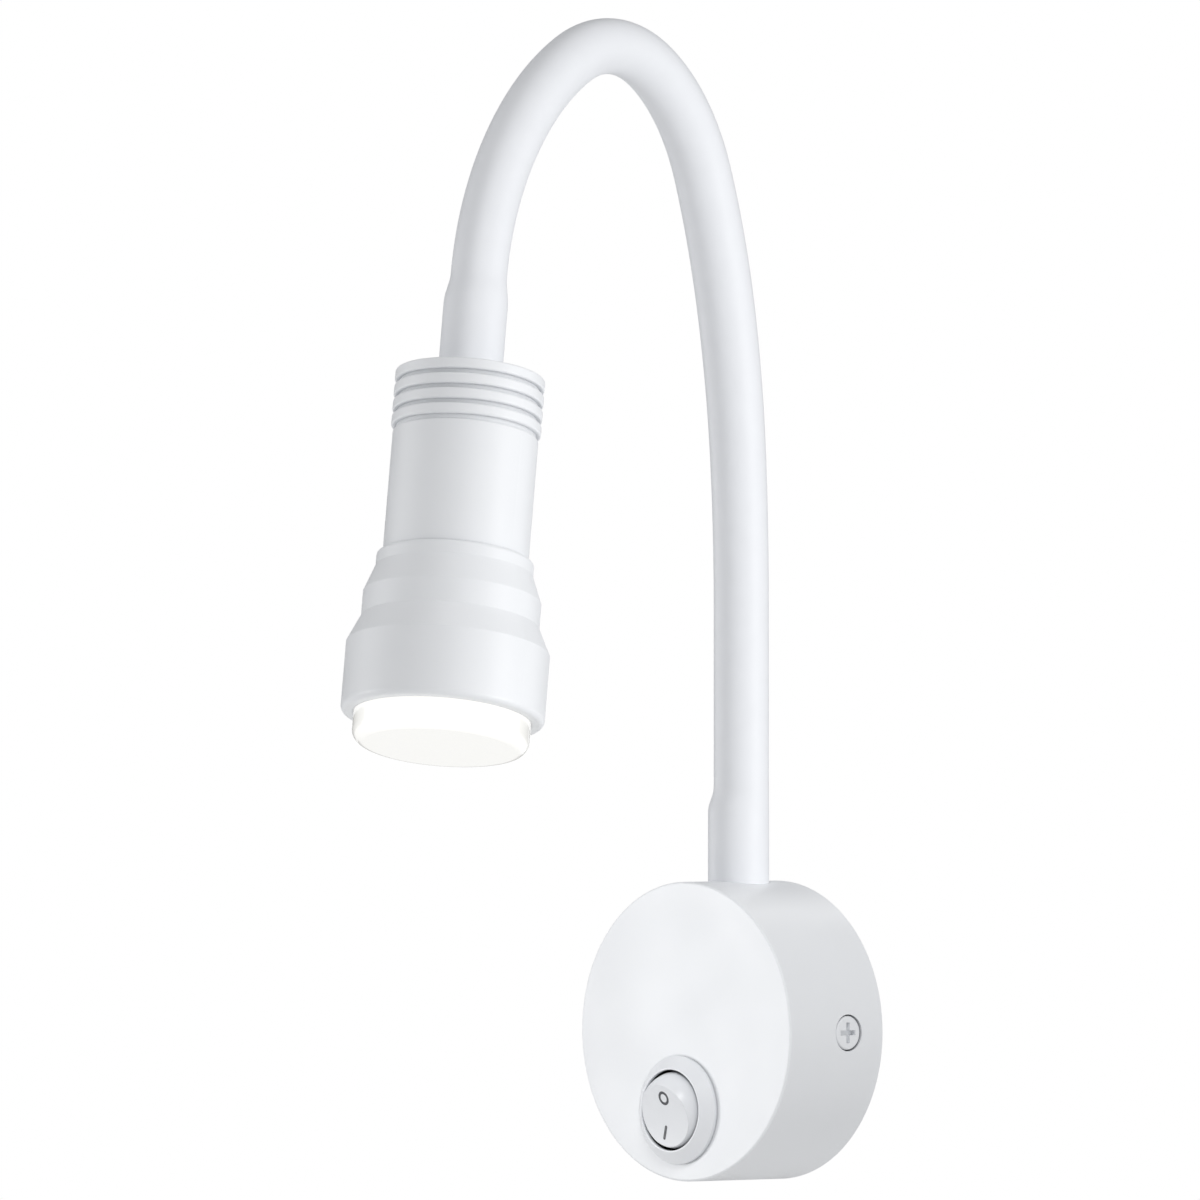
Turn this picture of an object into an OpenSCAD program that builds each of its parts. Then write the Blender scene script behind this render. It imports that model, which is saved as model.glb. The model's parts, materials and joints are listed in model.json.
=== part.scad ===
// Wall light with a round base, a rocker switch, a bendable neck and a stepped spot head.
// The wall is the plane y = 0, the light stands out of it along -Y, and Z is up.
// The origin is the centre of the base's rear face. Sizes are in millimetres.

/* [Wall base] */
// Outer diameter of the round base
base_d = 65; // [60:0.5:90]
// Depth of the base, from the wall to its front face
base_depth = 28; // [26:0.5:40]
// Wall thickness of the casing
case_wall = 2; // [1.2:0.1:2.6]
// Radius of the casing's front edge
case_edge = 0.5; // [0.2:0.1:1.6]
// Thickness of the steel wall plate and its tabs
plate_t = 1.5; // [1:0.1:2]
// Gap around the wall plate inside the casing
plate_gap = 0.4; // [0.2:0.1:1]
// Distance between the two wall screw holes
wall_hole_pitch = 34; // [30:0.5:38]
// Distance of a wall screw hole from the edge of the wall plate
wall_hole_inset = 3.9; // [3.5:0.1:5]
// Diameter of a wall screw hole
wall_hole_d = 4.6; // [3.5:0.1:5]
// Diameter of the hole for the cable bush
bush_d = 10; // [8:0.5:11]
// Bore of the cable bush
bush_bore_d = 7; // [5:0.5:8]
// Thickness of the cable bush's flange
bush_flange_t = 1.5; // [1:0.1:2]
// Distance of the cable bush from the edge of the wall plate
bush_inset = 9.6; // [8:0.2:12]

/* [Side screws] */
// Distance of the side screws from the wall
side_screw_w = 10.3; // [8:0.1:12]
// Thread diameter of a side screw
side_screw_d = 4; // [3:0.5:5]
// Length of a side screw's shank
side_shank = 8; // [7.5:0.5:10]
// Diameter of a side screw's head
side_head_d = 7.4; // [6.5:0.1:8]
// Height of a side screw's head
side_head_h = 2.2; // [1.6:0.1:2.6]
// How far the head lies below the casing's surface
side_head_sink = 0.2; // [0.1:0.1:0.6]
// Diameter of the boss behind a side screw's head
screw_boss_d = 11; // [10:0.5:14]
// Depth of that boss, from the casing's outside
screw_boss_depth = 5.5; // [4.5:0.1:6.5]
// Width of a wall plate tab
tab_width = 12; // [9:0.5:12]
// Length of the threaded collar on a tab
tab_collar = 2.5; // [1.5:0.1:3]

/* [Switch] */
// Sideways place of the switch on the front face
switch_x = -1.8; // [-4:0.1:4]
// Distance of the switch's centre from the base's lower edge
switch_inset = 15.5; // [14:0.1:17]
// Turn of the switch in its hole, clockwise from the front
switch_turn = 12; // [0:1:20]
// Diameter of the switch's hole in the casing
switch_hole_d = 20.2; // [19.5:0.1:21]
// Outer diameter of the switch's ring
switch_ring_d = 23.5; // [22.5:0.1:25]
// Height of the ring over the front face
switch_ring_h = 3; // [2:0.1:4]
// Height of the ring's upright side
switch_ring_side = 0.9; // [0.4:0.1:1.4]
// Radius of the ring's rim round the well
switch_ring_rim = 0.35; // [0.2:0.05:0.5]
// Diameter of the well that the rocker sits in
switch_well_d = 17.6; // [17:0.1:18.4]
// Depth of the switch's body behind the front face
switch_body_depth = 14.2; // [13.8:0.1:15]
// Tilt of the rocker when the lamp is on, top side out
rocker_tilt = 15; // [8:0.5:16]
// Height of the rocker's face over its pivot
rocker_face = 4.9; // [4.6:0.1:5.6]
// Depth of the dish in the rocker's face
rocker_dish = 0.6; // [0.3:0.1:1.2]
// Height of the rocker's pivot over the front face
rocker_pivot_h = 0; // [-0.4:0.1:0.4]
// Diameter of the rocker's pivot pins
rocker_pin_d = 2.4; // [2:0.1:2.8]
// Tilt of the moving contact when the lamp is on
contact_tilt = 8; // [4:0.5:9]
// Width of a terminal tab
terminal_width = 4.8; // [4:0.1:5]
// Thickness of a terminal tab
terminal_t = 0.8; // [0.5:0.1:1]
// Length of the terminal tabs behind the switch's body
terminal_len = 7; // [5:0.1:7.5]

/* [Neck] */
// Outer diameter of the neck's sleeve
neck_d = 12; // [11:0.1:13]
// Wall thickness of the sleeve
sleeve_wall = 1.4; // [1:0.1:1.8]
// Wall thickness of the steel hose
hose_wall = 1.7; // [1.2:0.1:2]
// Diameter of a lamp lead
lead_d = 1.9; // [1.2:0.1:2]
// Distance of the neck's axis from the wall
neck_w = 11; // [10.5:0.1:14]
// Turn of the neck's arch away from straight out of the wall
neck_turn = 13.7; // [0:0.1:40]
// Length of one bending link
link_len = 32; // [26:0.5:40]

/* [Neck ends] */
// Diameter of the sleeve where it covers the base's fitting
base_bulge_d = 13.2; // [13:0.1:14.5]
// Length of that wider part
base_bulge_len = 18.4; // [17:0.1:24]
// Diameter of the sleeve where it covers the head's fitting
head_bulge_d = 13.8; // [13:0.1:14.5]
// Length of that wider part
head_bulge_len = 17.3; // [17:0.1:24]
// Length of the taper from the sleeve to its wider part
bulge_taper = 2.2; // [1.5:0.1:5]
// Thread diameter of the fittings
fitting_d = 10; // [9:0.1:10.2]
// Diameter of the shoulder of a fitting
fitting_shoulder_d = 11.8; // [11.4:0.1:12]
// Thickness of the shoulder
fitting_shoulder_t = 2; // [1.5:0.1:3]
// Length of the socket that holds the hose
socket_len = 14; // [10:0.5:14.5]
// Depth of the flat seat inside the casing, below the neck's foot
seat_depth = 5; // [4:0.1:7]
// Thickness of the fitting nuts
nut_t = 4; // [3:0.1:5]
// Width across flats of the fitting nuts
nut_flats = 14; // [13:0.1:15]

/* [Head] */
// Outer diameter of the barrel
barrel_d = 31; // [29:0.1:32]
// Wall thickness of the barrel
barrel_wall = 2.2; // [1.6:0.1:3]
// Thickness of the barrel's top
barrel_top = 4; // [3:0.1:6]
// Length of the barrel that shows above the bezel
barrel_len = 40; // [34:0.5:50]
// Length of the barrel's thread inside the bezel
thread_len = 12; // [9:0.1:12.5]
// Depth of the barrel's thread step
thread_step = 0.6; // [0.4:0.1:0.8]
// Number of rings at the barrel's top
rings = 4; // [2:1:6]
// Distance from ring to ring
ring_pitch = 3.3; // [2.8:0.1:4]
// Width of the groove under each ring
ring_groove = 1; // [0.6:0.1:1.4]
// Outer diameter of the rings
ring_d = 31.9; // [31.2:0.1:33]
// Diameter at the foot of the grooves
groove_d = 29.8; // [29.5:0.1:30.8]
// Outer diameter of the bezel's first step
bezel_d1 = 33.5; // [33:0.1:35]
// Outer diameter of the bezel's second step
bezel_d2 = 37.9; // [36:0.1:40]
// Outer diameter of the bezel's last step
bezel_d3 = 43.3; // [41.5:0.1:46]
// Length of the first step
bezel_h1 = 3; // [2:0.1:5]
// Length of each taper between the steps
bezel_taper = 5.8; // [4:0.1:7]
// Length of the second step
bezel_h2 = 5.4; // [3:0.1:8]
// Length of the last step
bezel_h3 = 15; // [13:0.1:20]
// Radius of the bezel's lower edge
bezel_edge = 1.2; // [0.5:0.1:2]
// Thickness of the heat spreader
spreader_t = 5; // [4:0.1:6]

/* [Lens and light] */
// Outer diameter of the lens
lens_d = 37.7; // [36:0.1:38.2]
// How far the lens stands out of the bezel
lens_out = 6.4; // [3:0.1:10]
// How far the lens reaches into the bezel
lens_in = 6; // [4:0.1:8]
// Wall thickness of the lens
lens_wall = 1.8; // [1.4:0.1:2.2]
// Radius of the lens's outer edge
lens_edge = 2.6; // [0.5:0.1:4]
// Section of the lens seal
seal_d = 1; // [0.8:0.1:1.4]
// Diameter of the LED board
led_board_d = 22; // [20:0.5:26]
// Thickness of the LED board
led_board_t = 1.6; // [1:0.1:2]
// Diameter of the LED
led_d = 8; // [6:0.5:9]
// Height of the LED
led_h = 1.3; // [1:0.1:2]
// Wall thickness of the reflector
reflector_wall = 1; // [0.6:0.1:1.6]

/* [Driver] */
// Length of the driver board
board_l = 38; // [34:0.5:38]
// Height of the driver board
board_h = 17; // [15:0.5:17]
// Thickness of the driver board
board_t = 1.6; // [1:0.1:2]
// Distance of the driver board from the wall
board_w = 8; // [7:0.1:9]
// Height of the driver board's lower edge
board_v = -4; // [-5:0.1:-3]
// Diameter of a supply wire
wire_d = 1.6; // [1:0.1:2]
// Size of the terminal block, across, up and out
terminal_block_size = [12, 9, 11]; // [7:0.5:14]

/* [Clearances] */
// Gap between one neck link and the next
hinge_gap = 0.3; // [0.2:0.05:0.5]
// Gap round pieces that slip into each other
slip = 0.1; // [0.05:0.01:0.2]
// Running gap round a pin
running = 0.05; // [0.02:0.01:0.1]
// Gap between the rocker and its well
rocker_gap = 0.3; // [0.2:0.05:0.4]

/* [Hidden] */
$fn = 64;
nothing = 0.01;
shell_white = [0.94, 0.94, 0.95];
switch_white = [0.92, 0.92, 0.93];
sleeve_white = [0.91, 0.91, 0.93];
steel = [0.72, 0.73, 0.75];
brass = [0.82, 0.68, 0.38];

// Bend of each link of the neck, from the base to the head, chosen by eye from the arch's shape
link_bend = [0, 4.5, 8, 10.9, 39.4, 51.2, 27.3, 24.6];
// Turn of each link's bend about the neck before it starts, and of the head
link_turn = [0, 0, 0, 0, 0, 0, 0, 8.9, 0];
links = len(link_bend);
// Direction of each hinge about the neck: 0 nods along the arch, 90 sways across it
wall_sway = 90 - neck_turn;
hinge_turn = [wall_sway, 0, wall_sway, 0, 0, 0, 0, 90, 0];

// The base
base_r = base_d / 2;
case_inner_r = base_r - case_wall;
plate_r = case_inner_r - plate_gap;
front_w = base_depth - case_wall;
switch_v = switch_inset - base_r;
wall_hole_v = sqrt(pow(plate_r - wall_hole_inset, 2) - pow(wall_hole_pitch / 2, 2));
bush_angle = -43;
bush_at = (plate_r - bush_inset) * [cos(bush_angle), sin(bush_angle)];
bush_flange_over = 1.5;
bush_collar = 1.6;
earth_d = 4;
earth_head_d = 7;
earth_head_h = 2.4;
earth_angle = -90;
earth_at = (plate_r - earth_head_d / 2 - plate_gap) * [cos(earth_angle), sin(earth_angle)];
cross_width = 1;
cross_depth = 1.2;
tab_face = base_r - screw_boss_depth - slip;
tab_over = 6;
tab_collar_wall = 1.5;

// The neck and its fittings
neck_r = neck_d / 2;
sleeve_bore_r = neck_r - sleeve_wall;
hose_r = sleeve_bore_r - slip;
hose_bore_r = hose_r - hose_wall;
lead_offset = lead_d / 2 + slip;
drum_r = neck_r + 1.5;
drum_len = 2 * (drum_r + 2);
link_lap = drum_r - 3.5;
link_spare = 0.5;
seat_v = sqrt(pow(base_r, 2) - pow(base_bulge_d / 2 + 2 * slip, 2));
seat_boss_d = nut_flats + 3;
socket_r = hose_r + slip + 0.9;
sleeve_lap = fitting_shoulder_t + slip;
foot_z = seat_v + base_bulge_len + bulge_taper + drum_r;
tip_len = hinge_gap + bulge_taper + 1.7;
head_top = tip_len + head_bulge_len;
stem_over = 1.5;

// The head
barrel_r = barrel_d / 2;
barrel_bore_r = barrel_r - barrel_wall;
thread_r = barrel_r - thread_step;
ring_edge = 0.45;
spreader_z = barrel_len + thread_len - spreader_t;
board_z = barrel_len + thread_len;
bezel_top_edge = 0.8;
bezel_z2 = barrel_len + bezel_h1 + bezel_taper;
bezel_z3 = bezel_z2 + bezel_h2 + bezel_taper;
bezel_end = bezel_z3 + bezel_h3;
lens_r = lens_d / 2;
lens_top = bezel_end - lens_in;
bead_r = 0.3;
bead_z = lens_top + 1.5;
seal_z = lens_top - seal_d / 2;
seal_r = lens_r - seal_d / 2 - slip;
lamp_room_r = lens_r - lens_wall;
ledge_z = lens_top - seal_d - slip / 2;
reflector_end = ledge_z - slip;
reflector_z = board_z + led_board_t;
led_screw_d = 2.5;
led_screw_at = led_board_d / 2 - 2.6;
led_screw_head_d = 4.2;
led_screw_head_h = 1.4;
led_screw_len = spreader_t;
wire_hole_r = lead_offset + lead_d;

// The switch, measured from the casing's front face, outwards
well_r = switch_well_d / 2;
switch_barrel_r = switch_hole_d / 2 - slip;
well_depth = 7;
chamber = [8.4, 16];
floor_t = 1.2;
rocker_r = well_r - rocker_gap;
rocker_skirt = 2;
dish_half = sqrt(pow(rocker_r, 2) - pow(rocker_face, 2)) + rocker_gap;
dish_r = (pow(dish_half, 2) + pow(rocker_dish, 2)) / (2 * rocker_dish);
rocker_boss_d = 4.8;
rocker_boss_len = 5;
plunger_d = 2.8;
plunger_len = 5.1;
plunger_gap = 0.3;
spring_wire_d = 0.4;
spring_turns = 3;
spring_room = 1;
contact_t = 0.6;
contact_size = [4, 12.6];
contact_lift = 1;
fulcrum_d = 1.2;
fulcrum_w = -10.6;
plunger_reach = rocker_pivot_h - fulcrum_w - contact_lift - contact_t / 2 - plunger_gap;
load_at = 5.4;
stop_room = 0.35;
wing_size = [3, 5, 4];

// The driver and its wires
block_edge = 1;
block_low_v = -16;
block_right_x = terminal_block_size[0] - sqrt(pow(plate_r - block_edge, 2) - pow(block_low_v, 2));
pole_pitch = terminal_block_size[0] / 2;
pole_x = [block_right_x - terminal_block_size[0] * 0.75, block_right_x - terminal_block_size[0] * 0.25];
block_top_v = block_low_v + terminal_block_size[1];
clamp_d = 3;
clamp_depth = 5;
wire_w = plate_t + wire_d;
wire_sides = 8;
board_front = board_w + board_t;
board_mid_v = board_v + board_h / 2;
spacer_d = 5;
spacer_pin_d = 2.9;
spacer_x = board_l / 2 - spacer_d / 2;
spacer_rise = board_h / 2 - spacer_d / 2;
spacer_at = [[-spacer_x, board_mid_v + spacer_rise], [spacer_x, board_mid_v + spacer_rise],
             [spacer_x, board_mid_v - spacer_rise]];
transformer_size = [12, 9, 11];
core_size = [7, 12, 7];
transformer_x = board_l / 2 - transformer_size[0] / 2 - spacer_d;
can_d = 8;
can_h = 12;
can_x = 12 - board_l / 2;
film_size = [5, 10, 8];
film_x = 3 - board_l / 2;

// Frames

// Wall frame: x to the right, then up, then out of the wall
module on_wall() {
    rotate([90, 0, 0]) children();
}

// Switch frame: like the wall frame, from the middle of the switch's hole
module on_switch() {
    on_wall() translate([switch_x, switch_v, base_depth]) rotate([0, 0, -switch_turn]) children();
}

// Rocker frame: at the rocker's pivot, tilted as the rocker stands when the lamp is on
module on_rocker() {
    on_switch() translate([0, 0, rocker_pivot_h]) rotate([rocker_tilt, 0, 0]) children();
}

// Frame of one side screw, z along the screw and out of the casing
module on_side_screw(side) {
    on_wall() translate([side * base_r, 0, side_screw_w]) rotate([0, side * 90, 0]) children();
}

// Frame of the neck's foot on the base, z up the neck
module on_seat() {
    translate([0, -neck_w, seat_v]) children();
}

function bend_r(i) = link_len / (link_bend[i] * PI / 180);

// From the foot of a link to its far end
module past_link(i) {
    bend = link_bend[i];
    if (bend == 0) translate([0, 0, link_len]) children();
    else translate([0, -bend_r(i) * (1 - cos(bend)), bend_r(i) * sin(bend)]) rotate([bend, 0, 0]) children();
}

// Foot of a link, z along the neck. The head's end of the neck stands at the foot after the last link
module at_link(i) {
    if (i == 0) translate([0, -neck_w, foot_z]) rotate([0, 0, neck_turn]) children();
    else at_link(i - 1) past_link(i - 1) rotate([0, 0, link_turn[i]]) children();
}

// Head frame: at the head's top, z towards the lens
module on_head() {
    at_link(links) translate([0, 0, head_top]) children();
}

// Shared shapes

// A section carried along a link's bend, from a little before its foot to a little past its far end
module along_link(i) {
    length = link_lap + link_len + link_spare;
    if (link_bend[i] == 0) translate([0, 0, -link_lap]) rotate([0, 0, 90]) linear_extrude(length) children();
    else translate([0, -bend_r(i), 0]) rotate([90, 0, 90]) rotate([0, 0, -link_bend[i] * link_lap / link_len])
        rotate_extrude(angle = link_bend[i] * length / link_len) translate([bend_r(i), 0]) children();
}

// The round face that a link turns on. It is tangent to the link's foot
module hinge_drum(i, radius) {
    translate([0, 0, -drum_r]) rotate([0, 0, hinge_turn[i]]) rotate([0, 90, 0])
        cylinder(r = radius, h = drum_len, center = true);
}

// Hollows the foot of a piece of the neck
module hollow_foot(i) {
    difference() {
        children();
        hinge_drum(i, drum_r + hinge_gap);
    }
}

// Rounds the far end of a piece of the neck, to turn in the foot of link i
module round_end(i) {
    difference() {
        children();
        at_link(i) difference() {
            translate([-drum_len / 2, -drum_len / 2, -drum_r]) cube([drum_len, drum_len, 2 * drum_r]);
            hinge_drum(i, drum_r);
        }
    }
}

// One link of the neck
module neck_link(i) {
    round_end(i + 1) at_link(i) hollow_foot(i) along_link(i) children();
}

module sleeve_section() {
    difference() {
        circle(r = neck_r);
        circle(r = sleeve_bore_r);
    }
}

module hose_section() {
    difference() {
        circle(r = hose_r);
        circle(r = hose_bore_r);
    }
}

module lead_section() {
    for (side = [-1, 1]) translate([0, side * lead_offset]) circle(d = lead_d);
}

// Half section of a ring with rounded corners, from the axis
module rounded_step(radius, height, edge) {
    square([radius - edge, height]);
    translate([0, edge]) square([radius, height - 2 * edge]);
    for (z = [edge, height - edge]) translate([radius - edge, z]) circle(r = edge);
}

// Half section of a disc with one rounded corner, at its far face
module rounded_disc(radius, height, edge) {
    square([radius - edge, height]);
    square([radius, height - edge]);
    translate([radius - edge, height - edge]) intersection() {
        circle(r = edge);
        square(edge);
    }
}

// Cross recess of a screw, cut down from z = 0
module cross_recess(length) {
    for (turn = [0, 90]) rotate([0, 0, turn])
        translate([-length / 2, -cross_width / 2, -cross_depth]) cube([length, cross_width, cross_depth + 1]);
}

function unit(v) = v / norm(v);

// Ring of points round a wire at one of its corners, carried on from the corner before
function wire_ring(points, radius, i) =
    let (run = unit(points[max(i, 1)] - points[max(i, 1) - 1]))
    i == 0 ? let (side = unit(cross(run, abs(run[0]) < 0.5 ? [1, 0, 0] : [0, 1, 0])), lift = cross(side, run))
        [for (j = [0:wire_sides - 1]) let (around = 360 * j / wire_sides)
            points[0] + radius * (cos(around) * side + sin(around) * lift)]
    : let (mitre = i < len(points) - 1 ? run + unit(points[i + 1] - points[i]) : run)
        [for (p = wire_ring(points, radius, i - 1)) p + run * ((points[i] - p) * mitre / (run * mitre))];

// Faces of a closed tube made of rings of points
function tube_faces(rows, sides) = concat(
    [for (k = [0:rows - 2], j = [0:sides - 1])
        let (a = k * sides + j, b = k * sides + (j + 1) % sides)
        each [[a, a + sides, b + sides], [a, b + sides, b]]],
    [for (j = [1:sides - 2]) each [[0, j, j + 1],
        [(rows - 1) * sides, (rows - 1) * sides + j + 1, (rows - 1) * sides + j]]]);

// A wire laid along a list of points
module wire(points, diameter) {
    rows = len(points);
    polyhedron([for (i = [0:rows - 1]) each wire_ring(points, diameter / 2, i)], tube_faces(rows, wire_sides));
}

// Crimped fitting that holds the hose: a stem through the seat, a shoulder on it and a socket above
module nipple(stem_len) {
    rotate_extrude() difference() {
        union() {
            translate([0, -stem_len]) square([fitting_d / 2, stem_len + nothing]);
            square([fitting_shoulder_d / 2, fitting_shoulder_t]);
            square([socket_r, fitting_shoulder_t + socket_len]);
        }
        translate([0, -stem_len - 1]) square([hose_bore_r, stem_len + socket_len]);
        translate([0, fitting_shoulder_t]) square([hose_r + slip, socket_len + 1]);
    }
}

module fitting_nut() {
    difference() {
        union() {
            cylinder(d = nut_flats / cos(30), h = nut_t, $fn = 6);
            cylinder(d = nut_flats + 2, h = nut_t / 4);
        }
        translate([0, 0, -1]) cylinder(d = fitting_d + 2 * running, h = nut_t + 2);
    }
}

// Half section of the sleeve where it covers a fitting: wide from the seat, then a taper and a plain end
module bulge_section(bulge_d, bulge_len, plain_len) {
    length = bulge_len + bulge_taper + plain_len;
    difference() {
        polygon([[0, 0], [bulge_d / 2, 0], [bulge_d / 2, bulge_len], [neck_r, bulge_len + bulge_taper],
                 [neck_r, length], [0, length]]);
        translate([0, -1]) square([sleeve_bore_r, length + 2]);
        translate([0, -1]) square([socket_r + slip, fitting_shoulder_t + socket_len + slip + 1]);
        translate([0, -1]) square([fitting_shoulder_d / 2 + slip / 2, sleeve_lap + 1]);
    }
}

// Coil of round wire about z, from z = 0
module coil(mean_r, wire_r, turns, length) {
    sides = 6;
    steps = 10 * turns;
    points = [for (k = [0:steps], j = [0:sides - 1])
        let (turn = 360 * turns * k / steps, around = 360 * j / sides, out = mean_r + wire_r * cos(around))
        [out * cos(turn), out * sin(turn), wire_r + (length - 2 * wire_r) * k / steps + wire_r * sin(around)]];
    polyhedron(points, tube_faces(steps + 1, sides));
}

// The base

module casing() {
    color(shell_white) difference() {
        union() {
            on_wall() rotate_extrude() difference() {
                rounded_disc(base_r, base_depth, case_edge);
                translate([0, -1]) square([case_inner_r, front_w + 1]);
            }
            intersection() {
                on_wall() cylinder(r = base_r - case_wall / 2, h = front_w);
                union() {
                    for (side = [-1, 1]) on_side_screw(side)
                        translate([0, 0, -screw_boss_depth]) cylinder(d = screw_boss_d, h = screw_boss_depth);
                    on_seat() translate([0, 0, -seat_depth]) cylinder(d = seat_boss_d, h = seat_depth);
                }
            }
        }
        for (side = [-1, 1]) on_side_screw(side) {
            sink = side_head_h + side_head_sink;
            translate([0, 0, -sink]) cylinder(d = side_head_d + 6 * slip, h = sink + 1);
            translate([0, 0, -screw_boss_depth - 1])
                cylinder(d = side_screw_d + 4 * slip, h = screw_boss_depth + 1);
        }
        on_seat() {
            cylinder(d = fitting_shoulder_d + 2 * slip, h = base_r);
            translate([0, 0, -seat_depth - 1]) cylinder(d = fitting_d + 2 * slip, h = seat_depth + 2);
        }
        on_switch() translate([0, 0, -case_wall - 1]) cylinder(d = switch_hole_d, h = case_wall + 2);
    }
}

module wall_plate() {
    color(steel) on_wall() difference() {
        union() {
            cylinder(r = plate_r, h = plate_t);
            for (side = [-1, 1]) {
                translate([side * (tab_face - plate_t / 2), 0, (side_screw_w + tab_over) / 2])
                    cube([plate_t, tab_width, side_screw_w + tab_over], center = true);
                translate([side * (tab_face - plate_t - tab_collar), 0, side_screw_w]) rotate([0, side * 90, 0])
                    cylinder(d = side_screw_d + 2 * tab_collar_wall, h = tab_collar + nothing);
            }
        }
        translate([0, 0, side_screw_w]) rotate([0, 90, 0])
            cylinder(d = side_screw_d + 2 * running, h = base_d, center = true);
        for (side = [-1, 1]) translate([side * wall_hole_pitch / 2, wall_hole_v, -1])
            cylinder(d = wall_hole_d, h = plate_t + 2);
        translate([bush_at[0], bush_at[1], -1]) cylinder(d = bush_d, h = plate_t + 2);
        translate([earth_at[0], earth_at[1], -1]) cylinder(d = earth_d + 2 * running, h = plate_t + 2);
    }
}

module side_screws() {
    color(shell_white) for (side = [-1, 1]) on_side_screw(side) translate([0, 0, -side_head_sink]) difference() {
        union() {
            translate([0, 0, -side_head_h]) rotate_extrude() rounded_disc(side_head_d / 2, side_head_h, 0.5);
            translate([0, 0, -side_head_h - side_shank]) cylinder(d = side_screw_d, h = side_shank + nothing);
        }
        cross_recess(side_head_d * 0.6);
    }
}

module cable_bush() {
    color("dimgray") on_wall() translate([bush_at[0], bush_at[1], 0]) difference() {
        union() {
            cylinder(d = bush_d - slip, h = plate_t + bush_flange_t + bush_collar);
            translate([0, 0, plate_t]) cylinder(d = bush_d + 2 * bush_flange_over, h = bush_flange_t);
        }
        translate([0, 0, -1]) cylinder(d = bush_bore_d, h = base_depth);
    }
}

module terminal_block() {
    color("ivory") on_wall() translate([block_right_x - terminal_block_size[0], block_low_v, plate_t]) difference() {
        cube(terminal_block_size);
        for (pole = [0, 1], end = [0.25, 0.75])
            translate([(pole + 0.5) * pole_pitch, terminal_block_size[1] * end, terminal_block_size[2] - clamp_depth])
                cylinder(d = clamp_d + 2 * slip, h = clamp_depth + 1);
    }
}

module terminal_screws() {
    color(brass) on_wall() translate([block_right_x - terminal_block_size[0], block_low_v, plate_t])
        for (pole = [0, 1], end = [0.25, 0.75])
            translate([(pole + 0.5) * pole_pitch, terminal_block_size[1] * end, terminal_block_size[2] - clamp_depth])
                difference() {
                    cylinder(d = clamp_d, h = clamp_depth - 1);
                    translate([-clamp_d, -0.3, clamp_depth - 1.8]) cube([2 * clamp_d, 0.6, 2]);
                }
}

module earth_screw() {
    color(brass) on_wall() translate([earth_at[0], earth_at[1], 0]) difference() {
        union() {
            cylinder(d = earth_d, h = plate_t + nothing);
            translate([0, 0, plate_t]) rotate_extrude() rounded_disc(earth_head_d / 2, earth_head_h, 0.5);
        }
        translate([0, 0, plate_t + earth_head_h]) cross_recess(earth_head_d * 0.6);
    }
}

module driver_board() {
    color("seagreen") on_wall() difference() {
        translate([-board_l / 2, board_v, board_w]) cube([board_l, board_h, board_t]);
        for (at = spacer_at) translate([at[0], at[1], board_w - 1])
            cylinder(d = spacer_pin_d + 2 * slip, h = board_t + 2);
    }
}

module board_spacers() {
    color("ivory") on_wall() for (at = spacer_at) translate([at[0], at[1], plate_t]) {
        cylinder(d = spacer_d, h = board_w - plate_t);
        cylinder(d = spacer_pin_d, h = board_front - plate_t + nothing);
        translate([0, 0, board_front - plate_t]) cylinder(d1 = spacer_pin_d + 1, d2 = spacer_pin_d, h = 1.4);
    }
}

module transformer() {
    color("goldenrod") on_wall() translate([transformer_x, board_mid_v, board_front]) {
        translate([0, 0, transformer_size[2] / 2]) cube(transformer_size, center = true);
        translate([0, 0, transformer_size[2] / 2]) cube(core_size, center = true);
    }
}

module capacitors() {
    on_wall() {
        color("midnightblue") translate([can_x, board_mid_v, board_front])
            rotate_extrude() rounded_disc(can_d / 2, can_h, 0.6);
        color("firebrick") translate([film_x, board_v + slip, board_front]) cube(film_size);
    }
}

module base_wires() {
    tab_end = base_depth - switch_body_depth - terminal_len;
    load = [switch_x + load_at * sin(switch_turn), switch_v + load_at * cos(switch_turn)];
    lane_x = block_right_x + 2.5;
    lane_v = block_top_v + 3;
    inlet = [film_x, board_v + 5];
    outlet_v = board_v + 3;
    color("saddlebrown") on_wall() {
        wire([[pole_x[1], block_top_v, wire_w], [pole_x[1], lane_v, wire_w], [lane_x, lane_v, wire_w],
              [lane_x, switch_v, wire_w], [switch_x, switch_v, wire_w], [switch_x, switch_v, tab_end]], wire_d);
        wire([[load[0], load[1], tab_end], [load[0], load[1], wire_w], [load[0], outlet_v, wire_w],
              [load[0], outlet_v, board_w]], wire_d);
        wire([[pole_x[0], block_top_v, wire_w], [pole_x[0], inlet[1], wire_w], [inlet[0], inlet[1], wire_w],
              [inlet[0], inlet[1], board_w]], wire_d);
    }
    lead_foot = board_v + board_h - 2;
    color("white") round_end(0) for (side = [-1, 1]) {
        at = [-side * lead_offset * cos(neck_turn), -neck_w - side * lead_offset * sin(neck_turn)];
        wire([[at[0], -board_front, lead_foot], [at[0], at[1], lead_foot], [at[0], at[1], foot_z + link_spare]], lead_d);
    }
}

// The switch

// Half section of the switch's ring: an upright side, a slope and a round rim that the well cuts
module switch_ring_section() {
    well_cut = 135;
    side = [switch_ring_d / 2, switch_ring_side];
    rim = [well_r - switch_ring_rim * cos(well_cut), switch_ring_h - switch_ring_rim];
    rise = rim - side;
    first = atan2(rise[1], rise[0]) - asin(switch_ring_rim / norm(rise)) - 90;
    last = well_cut + 15;
    steps = 6;
    arc = [for (k = [0:steps]) let (turn = first + (last - first) * k / steps)
        rim + switch_ring_rim * [cos(turn), sin(turn)]];
    polygon(concat([[0, 0], [side[0], 0], side], arc, [[0, arc[steps][1]]]));
}

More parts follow.
